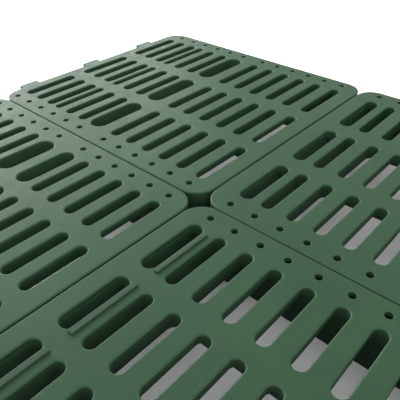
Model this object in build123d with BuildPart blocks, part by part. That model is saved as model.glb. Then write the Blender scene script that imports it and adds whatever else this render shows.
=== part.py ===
"""Four interlocking slatted floor panels laid two by two.

Every panel is a one-piece moulding: a deck with round-ended slots and drain holes, a skirt with a
frame wall inside it, and a lattice of hollow bars and webs under the deck. Push-in connector clips
stick out of each panel's back edge and reach under the front edge of the panel behind it.

Frame: +X along the slots, +Y towards the back, +Z up. The origin is on the ground, at the middle of
the laid floor's bounding box.
"""
from build123d import *
import os

os.makedirs("parts", exist_ok=True)

# Driving dimensions, mm
HEIGHT = 73.0  # ground to walking surface
DEPTH = 527.0  # every panel along Y, from seam to seam
WIDE = 498.0  # the two right-hand panels along X
NARROW = 420.0  # the two left-hand panels along X
SEAM_GAP_X = 1.6  # open joint between a left and a right panel
SEAM_GAP_Y = 2.8  # open joint between a front and a back panel
CORNER_R = 34.0
EDGE_R = 2.2  # rounding of the other edges of the walking surface

DECK = 7.0  # deck thickness
BAR = 15.0  # walking surface to the underside of a normal bar in the front panels
BACK_BAR = 19.0  # the same in the back panels
SHALLOW_BAR = 12.0
DEEP_BAR = 24.0
DEEPEST_BAR = 28.0
BAR_DEPTHS = [SHALLOW_BAR, BAR, BACK_BAR, DEEP_BAR, DEEPEST_BAR]
WEB = 22.5  # walking surface to the underside of the webs
DEEP_WEBS = [53.0, HEIGHT]  # the same beside the first slots of a back panel, from the X seam
WALL = 4.0  # skirt and frame wall
RIB = 3.0  # walls of the hollow bars and webs, and the ties
SETBACK = 1.0  # bars and webs stand this far back from the slot's edge
LEDGE = 1.0  # the wall behind a ledged slot steps this far into it
FRONT_LEDGE = 7.5  # walking surface down to that step
BACK_LEDGE = 12.4
SLOT = 17.5  # normal slot, across
HOLE_R = 5.0
HOLE_EDGE_R = 1.0  # rounding of the drain holes
INNER_INSET = 21.3  # hole column beside the X seam, to that seam
OUTER_INSET = 19.3  # hole column at the other side of the panel, to that side

CLIP_W = 41.0
CLIP_T = 6.0
CLIP_DROP = 4.0  # walking surface to the top of the clip
CLIP_OUT = 22.0  # tongue beyond the panel's edge
CLIP_IN = 13.0  # root inside the panel's edge
CLIP_R = 3.0  # corners of the tongue
CLIP_NOSE = 1.0  # chamfer of its end
STOP_D = 4.0  # stop lip under the tongue, down the outside of the skirt
STOP_T = 3.0
CLIP_FIRST = 0.147  # first clip and clip pitch, as shares of the panel's width
CLIP_PITCH = 0.324
CLIP_COUNT = 3
PLAY = 0.3  # clip to the window it is pushed into
NOTCH_PLAY = 0.8  # clip to the notch of the panel behind
SHELF = 3.0  # shelf that carries the clip's root

SEAT_D = 3.0  # seats of the locking strips
STRIP_PROUD = 3.2  # a strip stands this far above the walking surface
STRIP_R = 1.0
FIT = 0.1  # strip to the seat's sides

# The seams cross here, so that the bounding box, clips included, is centred on the origin.
SEAM_X = (NARROW - WIDE) / 2
SEAM_Y = -CLIP_OUT / 2

DECK_Z = HEIGHT - DECK
WEB_Z = HEIGHT - WEB
CLIP_TOP = HEIGHT - CLIP_DROP
CLIP_BOTTOM = CLIP_TOP - CLIP_T

# Slot columns as (nearest end, farthest end) from the X seam
BACK_RIGHT_COLUMNS = [(41.4, 152.8), (181.8, 299.0), (330.6, 453.8)]
BACK_LEFT_COLUMNS = [(42.4, 141.5), (167.2, 260.4), (285.0, 378.0)]
FRONT_RIGHT_COLUMNS = [(44.8, 150.8), (181.2, 297.4), (329.7, 450.5)]
FRONT_LEFT_COLUMNS = [(43.0, 143.0), (169.0, 261.4), (286.2, 381.0)]


def rows(start, pitch, count, size=SLOT, ledge=0.0, bar=BAR):
    """Equal rows as (middle's distance from the Y seam, size across, ledge, bar).

    ledge is how deep the step in the wall behind the slot lies, or 0 for a plain wall.
    bar is how deep the bar behind the slot is: one depth, or one for each column from the X seam.
    """
    return [(start + pitch * i, size, ledge, bar) for i in range(count)]


def row(middle, size=SLOT, ledge=0.0, bar=BAR):
    return rows(middle, 0, 1, size, ledge, bar)


BACK_RIGHT_ROWS = (
    row(39.4, bar=SHALLOW_BAR)
    + rows(80.8, 39.05, 5, bar=BACK_BAR)
    + row(289.4, 33, bar=DEEP_BAR)
    + rows(327.5, 37.3, 2, bar=BACK_BAR)
    + row(398.7, 13, bar=BACK_BAR)
    + rows(424.6, 34.9, 3, bar=BACK_BAR)
)
BACK_LEFT_ROWS = (
    row(39.7, bar=(SHALLOW_BAR, BACK_BAR, BACK_BAR))
    + rows(78.5, 39.4, 4, bar=BACK_BAR)
    + row(236.3, 29, ledge=BACK_LEDGE, bar=DEEP_BAR)
    + row(291.9, 34, bar=DEEP_BAR)
    + rows(333.4, 39.7, 5, bar=BACK_BAR)
)
FRONT_RIGHT_ROWS = (
    row(43.0, 22, ledge=FRONT_LEDGE)
    + row(78.8, bar=DEEPEST_BAR)
    + row(120.4, bar=DEEP_BAR)
    + rows(161.9, 41.7, 8)
)
FRONT_LEFT_ROWS = (
    row(39.5, 22, ledge=FRONT_LEDGE)
    + row(79.2, bar=DEEPEST_BAR)
    + row(121.7, bar=DEEP_BAR)
    + rows(164.2, 43.6, 8)
)

# Locking strips of the front left panel: nearest and farthest end from the X seam, distance in front
# of the ledged slots, and width
STRIPS = [(52.3, 141.0, 4.9, 5.6), (168.9, 261.0, 0.8, 7.6), (287.3, 380.0, 0.8, 7.6)]

# Drain hole columns: distances from the Y seam
BACK_RIGHT_INNER_HOLES = [39.1 + 39.4 * i for i in range(6)] + [301.7 + 39.5 * i for i in range(6)]
BACK_RIGHT_OUTER_HOLES = [42.3 + 39.3 * i for i in range(6)] + [292.4 + 38.9 * i for i in range(6)]
BACK_LEFT_HOLES = [39.1 + 39.3 * i for i in range(6)] + [301.4 + 39.1 * i for i in range(6)]
FRONT_HOLES = [39.4 + 41.0 * i for i in range(4)] + [204.6 + 42.6 * i for i in range(8)]


def x_span(side_x, near, far):
    """A stretch measured from the X seam, as (lowest x, highest x)."""
    return tuple(sorted((SEAM_X + side_x * near, SEAM_X + side_x * far)))


def y_span(side_y, near, far):
    """A stretch measured from the Y seam, as (lowest y, highest y)."""
    return tuple(sorted((SEAM_Y + side_y * near, SEAM_Y + side_y * far)))


def between(spans):
    """Middle and width of the solid left between neighbouring spans, less the setbacks."""
    return [((a[1] + b[0]) / 2, b[0] - a[1] - 2 * SETBACK) for a, b in zip(spans, spans[1:])]


def bar_depth(bar, column):
    """Depth of a bar in one column."""
    return bar[column] if isinstance(bar, tuple) else bar


def prism(rectangles, z0, z1, mode=Mode.ADD):
    """Upright blocks on rectangles given as (x0, x1, y0, y1), put into the part in one step."""
    with BuildSketch(Plane.XY.offset(z0)) as outline:
        for x0, x1, y0, y1 in rectangles:
            with Locations(((x0 + x1) / 2, (y0 + y1) / 2)):
                Rectangle(x1 - x0, y1 - y0)
    extrude(outline.sketch, amount=z1 - z0, mode=mode)


def panel_outline(side_x, side_y, width):
    """The panel's sides as (left, right, front, back), with half the open joint taken off."""
    left, right = x_span(side_x, 0, width)
    front, back = y_span(side_y, 0, DEPTH)
    half_x, half_y = SEAM_GAP_X / 2, SEAM_GAP_Y / 2
    return left + half_x, right - half_x, front + half_y, back - half_y


def clip_middles(side_x, width):
    """Middle of each clip along X."""
    left = x_span(side_x, 0, width)[0]
    return [left + width * (CLIP_FIRST + CLIP_PITCH * i) for i in range(CLIP_COUNT)]


def build_panel(side_x, side_y, width, columns, row_table, inner_holes, outer_holes, seats=False):
    """One moulded panel. side_x is +1 right of the X seam; side_y is +1 behind the Y seam."""
    left, right, front, back = panel_outline(side_x, side_y, width)
    middle = ((left + right) / 2, (front + back) / 2)
    size_x, size_y = right - left, back - front

    column_spans = [x_span(side_x, near, far) for near, far in columns]
    slot_rows = sorted(
        (*y_span(side_y, row_y - size / 2, row_y + size / 2), ledge, bar)
        for row_y, size, ledge, bar in row_table
    )
    row_spans = [slot_row[:2] for slot_row in slot_rows]
    bar_depths = [slot_row[3] for slot_row in slot_rows]
    slot_z = HEIGHT - DEEPEST_BAR
    webs = between(sorted(column_spans))
    bars = between(row_spans)

    # The field holds every slot. The frame wall stands around it.
    ledge_at_back = slot_rows[-1][2] > 0
    field_x0 = min(column_spans)[0] - SETBACK
    field_x1 = max(column_spans)[1] + SETBACK
    field_y0 = row_spans[0][0] - SETBACK
    field_y1 = row_spans[-1][1] + (-LEDGE if ledge_at_back else SETBACK)
    field_middle = ((field_x0 + field_x1) / 2, (field_y0 + field_y1) / 2)
    field_x, field_y = field_x1 - field_x0, field_y1 - field_y0

    with BuildPart() as panel:
        # Deck
        with BuildSketch(Plane.XY.offset(DECK_Z)):
            with Locations(middle):
                RectangleRounded(size_x, size_y, CORNER_R)
        extrude(amount=DECK)

        # Skirt and frame wall
        with BuildSketch():
            with Locations(middle):
                RectangleRounded(size_x, size_y, CORNER_R)
                RectangleRounded(size_x - 2 * WALL, size_y - 2 * WALL, CORNER_R - WALL, mode=Mode.SUBTRACT)
            with Locations(field_middle):
                Rectangle(field_x + 2 * WALL, field_y + 2 * WALL)
                Rectangle(field_x, field_y, mode=Mode.SUBTRACT)
        extrude(amount=DECK_Z)

        # Bars and webs, first as solid blocks. A bar's block ends in the middle of the slots beside it.
        bar_ends = [field_y0] + [(low + high) / 2 for low, high in row_spans] + [field_y1]
        bar_blocks = list(zip(bar_ends, bar_ends[1:], [BAR] + bar_depths))
        for depth in BAR_DEPTHS:
            blocks = [
                (x0 - SETBACK, x1 + SETBACK, y0, y1)
                for column, (x0, x1) in enumerate(column_spans)
                for y0, y1, bar in bar_blocks
                if bar_depth(bar, column) == depth
            ]
            if blocks:
                prism(blocks, HEIGHT - depth, DECK_Z)
        prism([(x - clear / 2, x + clear / 2, field_y0, field_y1) for x, clear in webs], WEB_Z, DECK_Z)
        if side_y > 0:
            first_row_end = row_spans[0][1] + SETBACK
            for (x, clear), depth in zip(webs[::side_x], DEEP_WEBS):
                prism([(x - clear / 2, x + clear / 2, field_y0, first_row_end)], HEIGHT - depth, WEB_Z)

        # Slots, set back under the deck, with a step at the back of some rows
        with BuildSketch(Plane.XY.offset(slot_z)):
            for x0, x1 in column_spans:
                for y0, y1, ledge, _ in slot_rows:
                    y_low = y0 - SETBACK
                    y_high = y1 - LEDGE if ledge else y1 + SETBACK
                    with Locations(((x0 + x1) / 2, (y_low + y_high) / 2)):
                        SlotOverall(x1 - x0 + 2 * SETBACK, y_high - y_low)
        extrude(amount=DECK_Z - slot_z, mode=Mode.SUBTRACT)
        for depth in sorted({max(ledge, DECK) for _, _, ledge, _ in slot_rows}):
            with BuildSketch(Plane.XY.offset(HEIGHT - depth)):
                for x0, x1 in column_spans:
                    for y0, y1, ledge, _ in slot_rows:
                        if max(ledge, DECK) == depth:
                            with Locations(((x0 + x1) / 2, (y0 + y1) / 2)):
                                SlotOverall(x1 - x0, y1 - y0)
            extrude(amount=depth, mode=Mode.SUBTRACT)

        # Hollows that leave thin walls in the webs and bars
        hollow_webs = [
            (x - clear / 2 + RIB, x + clear / 2 - RIB, field_y0, field_y1) for x, clear in webs
        ]
        prism(hollow_webs, WEB_Z, DECK_Z, Mode.SUBTRACT)
        for depth in BAR_DEPTHS:
            hollow_bars = [
                (x0 + RIB, x1 - RIB, y - clear / 2 + RIB, y + clear / 2 - RIB)
                for column, (x0, x1) in enumerate(column_spans)
                for (y, clear), bar in zip(bars, bar_depths)
                if bar_depth(bar, column) == depth and clear > 3 * RIB
            ]
            if hollow_bars:
                prism(hollow_bars, HEIGHT - depth, DECK_Z, Mode.SUBTRACT)

        # Every other edge of the walking surface is rounded before the drain holes are cut
        fillet(panel.faces().sort_by(Axis.Z)[-1].edges(), EDGE_R)

        # Drain holes between the skirt and the frame wall
        hole_columns = [(INNER_INSET, inner_holes), (width - OUTER_INSET, outer_holes)]
        with BuildSketch(Plane.XY.offset(DECK_Z)):
            for from_seam, holes in hole_columns:
                for hole in holes:
                    with Locations((SEAM_X + side_x * from_seam, SEAM_Y + side_y * hole)):
                        Circle(HOLE_R)
        extrude(amount=DECK, mode=Mode.SUBTRACT)
        fillet(panel.edges(Select.LAST).group_by(Axis.Z)[-1], HOLE_EDGE_R)

        # Ties between the skirt and the frame wall: every second gap between holes, and at the webs
        ties = [(x - RIB / 2, x + RIB / 2, front + WALL / 2, field_y0 - WALL / 2) for x, _ in webs]
        ties += [(x - RIB / 2, x + RIB / 2, field_y1 + WALL / 2, back - WALL / 2) for x, _ in webs]
        nearest_slot, farthest_slot = columns[0][0], columns[-1][1]
        inner_tie = x_span(side_x, WALL, nearest_slot - SETBACK - WALL / 2)
        outer_tie = x_span(side_x, farthest_slot + SETBACK + WALL / 2, width - WALL)
        for (x0, x1), holes in [(inner_tie, inner_holes), (outer_tie, outer_holes)]:
            for low, high in zip(holes[1:-1:2], holes[2::2]):
                y = SEAM_Y + side_y * (low + high) / 2
                ties.append((x0, x1, y - RIB / 2, y + RIB / 2))
        prism(ties, 0, DECK_Z)

        # Windows for the panel's own clips at the back, notches for the next clips at the front
        clips = clip_middles(side_x, width)
        shelf = CLIP_W / 2 + WALL
        window = CLIP_W / 2 + PLAY
        notch = CLIP_W / 2 + NOTCH_PLAY
        shelves = [(x - shelf, x + shelf, back - CLIP_IN, back - WALL / 2) for x in clips]
        windows = [(x - window, x + window, back - CLIP_IN - PLAY, back) for x in clips]
        notches = [(x - notch, x + notch, front, front + CLIP_OUT) for x in clips]
        prism(shelves, CLIP_BOTTOM - SHELF, CLIP_BOTTOM)
        prism(windows, CLIP_BOTTOM, CLIP_TOP + PLAY, Mode.SUBTRACT)
        prism(notches, 0, CLIP_TOP + PLAY, Mode.SUBTRACT)

        if seats:
            places = seat_places(side_x, side_y, row_table)
            cuts = [(x0 - FIT, x1 + FIT, y0 - FIT, y1 + FIT) for x0, x1, y0, y1 in places]
            prism(cuts, HEIGHT - SEAT_D, HEIGHT, Mode.SUBTRACT)
    return panel


def seat_places(side_x, side_y, row_table):
    """Each locking strip's place as (x0, x1, y0, y1), in front of the ledged slots."""
    middle, size = next(slot_row[:2] for slot_row in row_table if slot_row[2])
    slot_front = y_span(side_y, middle - size / 2, middle + size / 2)[0]
    places = []
    for near, far, distance, width in STRIPS:
        x0, x1 = x_span(side_x, near, far)
        places.append((x0, x1, slot_front - distance - width, slot_front - distance))
    return places


def build_clip(x, back):
    """A connector clip: a root inside the panel's edge, a tongue beyond it and a stop lip below."""
    with BuildPart() as clip:
        with BuildSketch(Plane.XY.offset(CLIP_BOTTOM)):
            with Locations((x, back + (CLIP_OUT - CLIP_IN) / 2)):
                Rectangle(CLIP_W, CLIP_OUT + CLIP_IN)
        extrude(amount=CLIP_T)
        tongue_corners = clip.edges().filter_by(Axis.Z).group_by(Axis.Y)[-1]
        fillet(tongue_corners, CLIP_R)
        nose = clip.faces().sort_by(Axis.Y)[-1].edges().filter_by(Axis.X)
        chamfer(nose, CLIP_NOSE)
        # The stop lip hangs in front of the skirt, so the clip can't be pushed in too far.
        prism([(x - CLIP_W / 2, x + CLIP_W / 2, back, back + STOP_T)], CLIP_BOTTOM - STOP_D, CLIP_BOTTOM)
    return clip


def build_strip(x0, x1, y0, y1):
    """A locking strip: a bar pressed into its seat, with a rounded top proud of the walking surface."""
    with BuildPart() as strip:
        prism([(x0, x1, y0, y1)], HEIGHT - SEAT_D, HEIGHT + STRIP_PROUD)
        fillet(strip.faces().sort_by(Axis.Z)[-1].edges(), STRIP_R)
    return strip


def write(part, label):
    part.part.label = label
    export_step(part.part, f"parts/{label}.step")


PANELS = {
    "back_right": (
        1, 1, WIDE, BACK_RIGHT_COLUMNS, BACK_RIGHT_ROWS, BACK_RIGHT_INNER_HOLES, BACK_RIGHT_OUTER_HOLES
    ),
    "back_left": (-1, 1, NARROW, BACK_LEFT_COLUMNS, BACK_LEFT_ROWS, BACK_LEFT_HOLES, BACK_LEFT_HOLES),
    "front_right": (1, -1, WIDE, FRONT_RIGHT_COLUMNS, FRONT_RIGHT_ROWS, FRONT_HOLES, FRONT_HOLES),
    "front_left": (-1, -1, NARROW, FRONT_LEFT_COLUMNS, FRONT_LEFT_ROWS, FRONT_HOLES, FRONT_HOLES),
}
WITH_STRIPS = "front_left"

for place, design in PANELS.items():
    side_x, side_y, width = design[:3]
    write(build_panel(*design, seats=place == WITH_STRIPS), f"panel_{place}")
    back = panel_outline(side_x, side_y, width)[3]
    for number, x in enumerate(clip_middles(side_x, width), start=1):
        write(build_clip(x, back), f"clip_{place}_{number}")

side_x, side_y, _, _, row_table = PANELS[WITH_STRIPS][:5]
for number, place in enumerate(seat_places(side_x, side_y, row_table), start=1):
    write(build_strip(*place), f"locking_strip_{number}")
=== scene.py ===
"""Looks for a laid set of slatted floor panels: moulded green plastic, pale floor, soft studio light."""
from math import cos, radians, sin

import bpy
from mathutils import Matrix, Vector


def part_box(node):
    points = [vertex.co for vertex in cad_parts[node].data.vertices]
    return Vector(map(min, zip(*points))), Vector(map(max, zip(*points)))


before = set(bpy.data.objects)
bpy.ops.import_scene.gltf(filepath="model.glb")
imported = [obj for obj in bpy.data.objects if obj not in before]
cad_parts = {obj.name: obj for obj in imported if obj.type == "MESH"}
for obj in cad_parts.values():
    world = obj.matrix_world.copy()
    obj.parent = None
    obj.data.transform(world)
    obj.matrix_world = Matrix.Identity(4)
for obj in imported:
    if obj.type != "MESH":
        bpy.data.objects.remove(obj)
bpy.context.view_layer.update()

MM = 0.001

# Camera: measured from the point where the four panels meet, on the walking surface
CAMERA_LEFT = 0.4134
CAMERA_FRONT = 0.3756
CAMERA_ABOVE = 0.4121
CAMERA_AZIMUTH = 47.84  # degrees from +Y towards +X
CAMERA_DOWN = 36.49  # degrees below the horizon
CAMERA_ROLL = -0.57  # degrees
CAMERA_LENS = 44.54  # mm
CAMERA_SENSOR = 36.0  # mm, width of the frame
CAMERA_CLIP_START = 0.01

# Moulded plastic
PANEL_COLOUR = (0.0188, 0.0418, 0.0226)
CLIP_COLOUR = (0.0190, 0.0400, 0.0226)
STRIP_COLOUR = (0.0225, 0.0400, 0.0275)
IOR = 1.5
SPECULAR = 0.040  # specular level; 0.5 is full strength
ROUGHNESS = (0.41, 0.55)  # of the least and the most scuffed patches
WORN_ROUGHNESS = 0.33
RIM_HIGHLIGHT = 1.5  # brightness of the painted highlight on the rims, to the plain colour
CLOUDY = (0.92, 1.07)  # brightness of the pigment's clouds
SPECKLED = 1.3  # brightness of the specks
CLOUDS = 9.0  # clouds, scuffs and sink waves are counted per metre
SCUFFS = 42.0
WAVES = 16.0
WAVE_DEPTH = 0.5 * MM
SPECK = 3 * MM
GRAIN = 0.9 * MM  # size of the moulded surface's grain
GRAIN_DEPTH = 0.06 * MM

FLOOR_COLOUR = (0.86, 0.86, 0.86)
FLOOR_ROUGHNESS = 0.9
FLOOR_SIZE = 30.0

# Studio light: an even white world and two softboxes low behind the floor panels
WORLD_STRENGTH = 2.0
SOFTBOXES = {"back_softbox": (0, 195), "right_softbox": (25, 150)}  # azimuth and power
SOFTBOX_ELEVATION = 18
SOFTBOX_DISTANCE = 3.5
SOFTBOX_SIZE = 2.6


def meeting_point():
    """Where the four panels meet, on the walking surface."""
    back_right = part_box("panel_back_right")
    front_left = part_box("panel_front_left")
    x = (back_right[0][0] + front_left[1][0]) / 2
    y = (back_right[0][1] + front_left[1][1]) / 2
    return Vector((x, y, back_right[1][2]))


class Nodes:
    """A material's node tree, with short calls to add and link nodes."""

    def __init__(self, name):
        self.material = bpy.data.materials.new(name)
        self.material.use_nodes = True
        self.tree = self.material.node_tree
        self.shader = self.tree.nodes["Principled BSDF"]

    def add(self, kind, **values):
        node = self.tree.nodes.new(kind)
        for key, value in values.items():
            setattr(node, key, value)
        return node

    def link(self, source, target):
        self.tree.links.new(source, target)

    def noise(self, scale, detail, roughness=0.5):
        """Noise in object space. scale counts features per metre."""
        place = self.add("ShaderNodeTexCoord")
        node = self.add("ShaderNodeTexNoise")
        node.inputs["Scale"].default_value = scale
        node.inputs["Detail"].default_value = detail
        node.inputs["Roughness"].default_value = roughness
        self.link(place.outputs["Object"], node.inputs["Vector"])
        return node.outputs["Fac"]

    def spread(self, source, low, high, start=0.0, end=1.0):
        """Maps source from start..end to low..high."""
        node = self.add("ShaderNodeMapRange")
        node.inputs["From Min"].default_value = start
        node.inputs["From Max"].default_value = end
        node.inputs["To Min"].default_value = low
        node.inputs["To Max"].default_value = high
        self.link(source, node.inputs["Value"])
        return node.outputs["Result"]

    def multiply(self, first, second):
        """Multiplies two nodes' values."""
        node = self.add("ShaderNodeMath", operation="MULTIPLY")
        self.link(first, node.inputs[0])
        self.link(second, node.inputs[1])
        return node.outputs[0]

    def mix_value(self, factor, first, second):
        """Mixes a node's value with the number second."""
        node = self.add("ShaderNodeMix", data_type="FLOAT")
        self.link(factor, node.inputs["Factor"])
        self.link(first, node.inputs["A"])
        node.inputs["B"].default_value = second
        return node.outputs["Result"]

    def mix(self, factor, first, second):
        """Mixes two colours, each a value or a socket."""
        node = self.add("ShaderNodeMix", data_type="RGBA")
        self.link(factor, node.inputs["Factor"])
        for value, socket in ((first, node.inputs[6]), (second, node.inputs[7])):
            if isinstance(value, tuple):
                socket.default_value = (*value, 1.0)
            else:
                self.link(value, socket)
        return node.outputs[2]


def shade(colour, factor):
    return tuple(min(1.0, part * factor) for part in colour)


def moulded_plastic(name, colour):
    """Satin polypropylene: cloudy pigment, scuffed gloss, fine grain and slight sink waves."""
    n = Nodes(name)
    clouds = n.noise(CLOUDS, detail=4.0)
    specks = n.noise(1 / SPECK, detail=3.0)
    scuffs = n.noise(SCUFFS, detail=6.0, roughness=0.62)

    # Rounded rims face neither straight up nor sideways. In patches they are worn smoother, and there
    # they are painted lighter as a painted highlight.
    coordinates = n.add("ShaderNodeTexCoord")
    direction = n.add("ShaderNodeSeparateXYZ")
    n.link(coordinates.outputs["Normal"], direction.inputs["Vector"])
    upward = direction.outputs["Z"]
    rim_highlight_mask = n.multiply(n.spread(upward, 0.0, 1.0, 0.25, 0.55), n.spread(upward, 1.0, 0.0, 0.86, 0.98))
    worn_rim_highlight = n.multiply(rim_highlight_mask, n.spread(scuffs, 0.35, 1.0, 0.35, 0.6))

    cloudiness = n.spread(clouds, 0.0, 1.0, 0.3, 0.7)
    cloudy = n.mix(cloudiness, *(shade(colour, brightness) for brightness in CLOUDY))
    speckled = n.mix(n.spread(specks, 0.0, 0.5, 0.55, 0.75), cloudy, shade(colour, SPECKLED))
    # Painted highlight: the rim patches are painted lighter than the plastic's own colour.
    n.link(n.mix(worn_rim_highlight, speckled, shade(colour, RIM_HIGHLIGHT)), n.shader.inputs["Base Color"])
    scuffed = n.spread(scuffs, *ROUGHNESS, 0.3, 0.7)
    n.link(n.mix_value(worn_rim_highlight, scuffed, WORN_ROUGHNESS), n.shader.inputs["Roughness"])
    n.shader.inputs["IOR"].default_value = IOR
    n.shader.inputs["Specular IOR Level"].default_value = SPECULAR

    grain = n.add("ShaderNodeBump")
    grain.inputs["Strength"].default_value = 0.25
    grain.inputs["Distance"].default_value = GRAIN_DEPTH
    n.link(n.noise(1 / GRAIN, detail=3.0), grain.inputs["Height"])
    waves = n.add("ShaderNodeBump")
    waves.inputs["Strength"].default_value = 0.35
    waves.inputs["Distance"].default_value = WAVE_DEPTH
    n.link(n.noise(WAVES, detail=1.0), waves.inputs["Height"])
    n.link(grain.outputs["Normal"], waves.inputs["Normal"])
    n.link(waves.outputs["Normal"], n.shader.inputs["Normal"])
    return n.material


def dress(prefix, material):
    """Gives every CAD node whose name starts with prefix this material."""
    for name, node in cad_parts.items():
        if name.startswith(prefix):
            for slot in node.material_slots:
                slot.material = material


def make_floor():
    bpy.ops.mesh.primitive_plane_add(size=FLOOR_SIZE, location=(0, 0, 0))
    floor = bpy.context.object
    floor.name = "studio_floor"
    n = Nodes("studio_floor")
    n.shader.inputs["Base Color"].default_value = (*FLOOR_COLOUR, 1.0)
    n.shader.inputs["Roughness"].default_value = FLOOR_ROUGHNESS
    floor.data.materials.append(n.material)


def softbox(name, azimuth, power):
    """A square area light that faces the meeting point. azimuth is in degrees from +Y towards +X."""
    away = Vector((
        sin(radians(azimuth)) * cos(radians(SOFTBOX_ELEVATION)),
        cos(radians(azimuth)) * cos(radians(SOFTBOX_ELEVATION)),
        sin(radians(SOFTBOX_ELEVATION)),
    ))
    data = bpy.data.lights.new(name, "AREA")
    data.size = SOFTBOX_SIZE
    data.energy = power
    light = bpy.data.objects.new(name, data)
    light.location = meeting_point() + away * SOFTBOX_DISTANCE
    light.rotation_euler = away.to_track_quat("Z", "Y").to_euler()
    bpy.context.collection.objects.link(light)


def make_light():
    world = bpy.data.worlds.new("studio")
    bpy.context.scene.world = world
    world.use_nodes = True
    background = world.node_tree.nodes["Background"]
    background.inputs["Color"].default_value = (1, 1, 1, 1)
    background.inputs["Strength"].default_value = WORLD_STRENGTH
    for name, (azimuth, power) in SOFTBOXES.items():
        softbox(name, azimuth, power)


def make_camera():
    data = bpy.data.cameras.new("camera")
    data.sensor_width = CAMERA_SENSOR
    data.lens = CAMERA_LENS
    data.clip_start = CAMERA_CLIP_START
    camera = bpy.data.objects.new("camera", data)
    camera.location = meeting_point() + Vector((-CAMERA_LEFT, -CAMERA_FRONT, CAMERA_ABOVE))
    turn = Matrix.Rotation(radians(-CAMERA_AZIMUTH), 3, "Z")
    tip = Matrix.Rotation(radians(90 - CAMERA_DOWN), 3, "X")
    roll = Matrix.Rotation(radians(CAMERA_ROLL), 3, "Z")
    camera.rotation_euler = (turn @ tip @ roll).to_euler()
    bpy.context.collection.objects.link(camera)
    bpy.context.scene.camera = camera


dress("panel_", moulded_plastic("panel_plastic", PANEL_COLOUR))
dress("clip_", moulded_plastic("clip_plastic", CLIP_COLOUR))
dress("locking_strip_", moulded_plastic("strip_plastic", STRIP_COLOUR))
make_floor()
make_light()
make_camera()
bpy.context.scene.view_settings.view_transform = "Standard"
